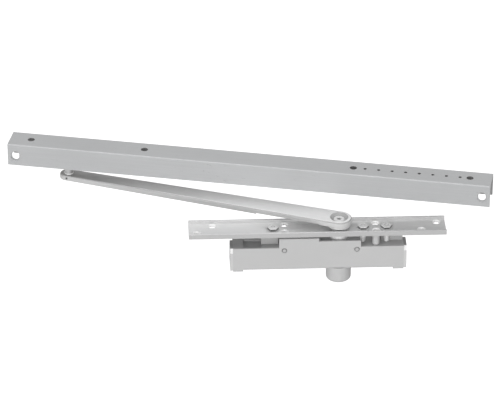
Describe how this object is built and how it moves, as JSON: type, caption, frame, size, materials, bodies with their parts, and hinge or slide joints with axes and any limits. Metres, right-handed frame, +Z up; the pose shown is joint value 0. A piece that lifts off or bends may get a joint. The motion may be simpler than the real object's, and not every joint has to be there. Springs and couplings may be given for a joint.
{
  "type": "concealed door closer",
  "caption": "Slim closer body under a flat mounting plate, with a lever arm on its spindle that runs by a slide block in a straight overhead track.",
  "frame": {"origin": "on the spindle axis, where the round boss meets the underside of the case", "axes": "+Z up along the spindle, +X along the closer body away from its spring, +Y to the rear"},
  "size_m": [0.5456, 0.159, 0.117],
  "materials": {
    "case": "satin silver paint",
    "block": "silver painted casting",
    "caps": "satin silver paint",
    "plate": "bright zinc plated steel",
    "track": "satin anodised",
    "arm": "satin silver paint on forged steel",
    "steel": "bright turned steel",
    "zinc": "zinc plated",
    "hard": "hardened steel, oiled",
    "bronze": "sintered bronze",
    "nylon": "natural nylon",
    "rubber": "nitrile rubber",
    "spring": "oil tempered wire"
  },
  "bodies": {
    "closer": {"case_shell": "case", "cylinder_block": "block", "case_pins": "zinc", "left_end_cap": "caps", "right_end_cap": "caps", "end_cap_screws": "hard", "left_cap_seal": "rubber", "right_cap_seal": "rubber", "mounting_plate": "plate", "body_screw_washers": "zinc", "body_screws": "zinc", "spindle_boss": "caps", "thrust_washer": "hard", "lower_bush": "bronze", "upper_bearing_cap": "steel", "upper_bush": "bronze", "spindle_seal": "rubber", "spring_seat": "hard", "closing_spring": "spring", "closing_valve_sleeve": "steel", "latching_valve_sleeve": "steel"},
    "arm": {"pinion_spindle": "hard", "lever_arm": "arm", "arm_screw": "zinc", "arm_stud": "steel", "stud_set_screw": "hard", "stud_ring": "zinc"},
    "piston": {"rack_piston": "hard", "piston_ring": "nylon", "check_ball": "hard", "ball_retainer": "steel"},
    "closing_valve": {"closing_valve_stem": "bronze"},
    "latching_valve": {"latching_valve_stem": "bronze"},
    "slider": {"slide_block": "nylon", "block_bush": "bronze"},
    "track": {"track_channel": "track"}
  },
  "joints": [
    {"name": "spindle_turn", "type": "hinge", "parent": "closer", "child": "arm", "pos_m": [0, 0, 0], "axis": [0, 0, -1], "range_deg": [-20.5, 132], "stiffness_Nm_per_rad": 6},
    {"name": "piston_slide", "type": "slide", "parent": "closer", "child": "piston", "axis": [-1, 0, 0], "range_m": [-0.00216, 0.01384], "deforming": ["closing_spring"]},
    {"name": "closing_valve_turn", "type": "hinge", "parent": "closer", "child": "closing_valve", "pos_m": [0.041, -0.0079, 0.0414], "axis": [0, 0, 1], "range_deg": [-360, 360]},
    {"name": "latching_valve_turn", "type": "hinge", "parent": "closer", "child": "latching_valve", "pos_m": [0.041, 0.0076, 0.0414], "axis": [0, 0, 1], "range_deg": [-360, 360]},
    {"name": "slider_turn", "type": "hinge", "parent": "arm", "child": "slider", "pos_m": [-0.30255, 0.11312, 0.082], "axis": [0, 0, 1], "range_deg": [-45, 60]},
    {"name": "track_slide", "type": "slide", "parent": "slider", "child": "track", "axis": [0.9767, -0.2147, 0], "range_m": [-0.462, 0.041]}
  ],
  "couplings": [
    {"joint": "piston_slide", "follows": "spindle_turn", "m_per_rad": 0.006}
  ]
}
